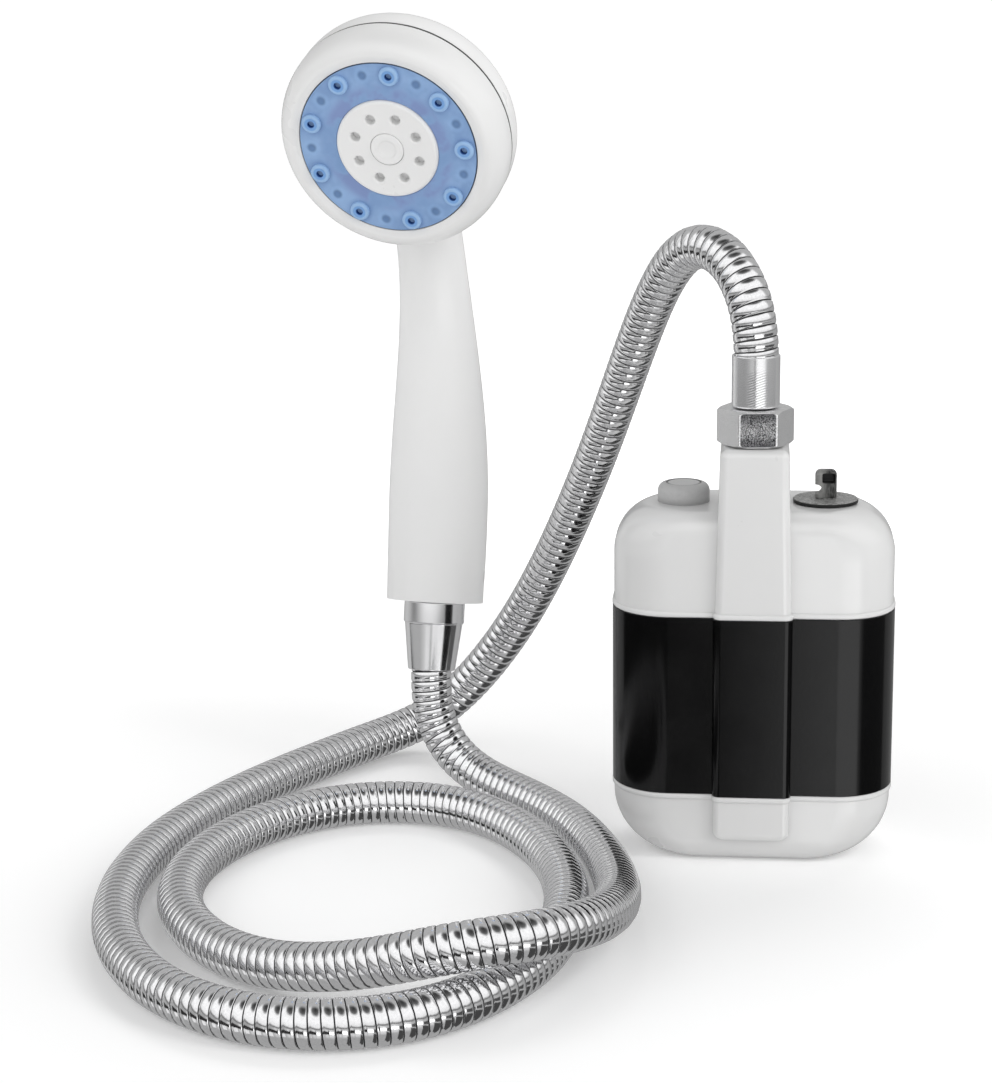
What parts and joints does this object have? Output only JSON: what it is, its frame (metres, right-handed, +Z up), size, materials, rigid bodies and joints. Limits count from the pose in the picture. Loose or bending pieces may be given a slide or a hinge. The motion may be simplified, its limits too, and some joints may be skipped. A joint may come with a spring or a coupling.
{
  "type": "camp shower pump",
  "caption": "Cordless camp shower set: an upright white and black pump with a button and a charge plug, a ribbed metal hose in loose turns and a hand shower with a blue spray face.",
  "frame": {"origin": "middle of the pump's base, on the floor", "axes": "+X to the pump's right as seen from its front, +Y to its back, +Z up"},
  "size_m": [0.2437, 0.2702, 0.2676],
  "materials": {
    "white_plastic": "gloss",
    "black_plastic": "gloss",
    "grey_plastic": "satin",
    "dark_plastic": "satin",
    "blue_plastic": "satin",
    "blue_rubber": "satin",
    "bright_metal": "polished",
    "hose_metal": "polished",
    "steel": "satin",
    "brass": "satin",
    "black_rubber": "matte",
    "inner_plastic": "matte",
    "motor_can": "satin",
    "cell_wrap": "satin",
    "board_green": "satin",
    "switch_black": "matte"
  },
  "bodies": {
    "pump": {"bottom_cap": "white_plastic", "middle_band": "black_plastic", "top_cap": "white_plastic", "base_gasket": "black_rubber", "top_gasket": "black_rubber", "base_screws": "steel", "top_screws": "steel", "motor_plate": "inner_plastic", "motor": "motor_can", "shaft_seal": "black_rubber", "volute": "inner_plastic", "volute_cover": "inner_plastic", "intake_grille": "white_plastic", "filter_screen": "steel", "riser_tube": "inner_plastic", "battery_cells": "cell_wrap", "cell_bracket": "inner_plastic", "control_board": "board_green", "board_screws": "steel", "power_switch": "switch_black", "switch_boot": "black_rubber", "charge_socket": "steel", "outlet_nipple": "inner_plastic", "outlet_washer": "black_rubber", "hose_ferrule": "bright_metal", "hose_riser": "hose_metal", "hose_coil": "hose_metal", "hose_lead": "hose_metal", "tail_insert": "brass", "tail_washer": "black_rubber"},
    "power_button": {"power_button": "grey_plastic"},
    "charge_plug": {"charge_plug": "dark_plastic", "plug_seal": "black_rubber"},
    "hose_nut": {"hose_nut": "bright_metal"},
    "impeller": {"impeller": "inner_plastic", "motor_shaft": "steel"},
    "handset": {"handset_body": "white_plastic", "face_screw": "steel", "head_seal": "black_rubber", "flow_plate": "inner_plastic"},
    "cone_nut": {"cone_nut": "bright_metal"},
    "spray_head": {"head_bezel": "white_plastic", "nozzle_plate": "blue_plastic", "nozzle_tips": "blue_rubber", "centre_disc": "white_plastic", "centre_cap": "white_plastic"}
  },
  "joints": [
    {"name": "button_press", "type": "slide", "parent": "pump", "child": "power_button", "axis": [0, 0, -1], "range_m": [0, 0.0012], "stiffness_N_per_m": 900, "springref_m": -0.0008},
    {"name": "plug_pull", "type": "slide", "parent": "pump", "child": "charge_plug", "axis": [0, 0, 1], "range_m": [0, 0.014]},
    {"name": "hose_nut_turn", "type": "hinge", "parent": "pump", "child": "hose_nut", "pos_m": [0, -0.012, 0.1415], "axis": [0, 0, 1], "continuous": true},
    {"name": "impeller_spin", "type": "hinge", "parent": "pump", "child": "impeller", "pos_m": [0, 0.0055, 0.0112], "axis": [0, 0, 1], "continuous": true},
    {"name": "hand_swivel", "type": "hinge", "parent": "pump", "child": "handset", "pos_m": [-0.11, 0.05, 0.067], "axis": [0.0397, 0.2041, 0.9781], "continuous": true},
    {"name": "cone_nut_turn", "type": "hinge", "parent": "handset", "child": "cone_nut", "pos_m": [-0.11048, 0.04755, 0.05526], "axis": [0.0397, 0.2041, 0.9781], "continuous": true},
    {"name": "spray_turn", "type": "hinge", "parent": "handset", "child": "spray_head", "pos_m": [-0.11534, 0.02251, 0.23], "axis": [-0.1756, -0.9036, -0.3907], "range_deg": [0, 90]}
  ]
}
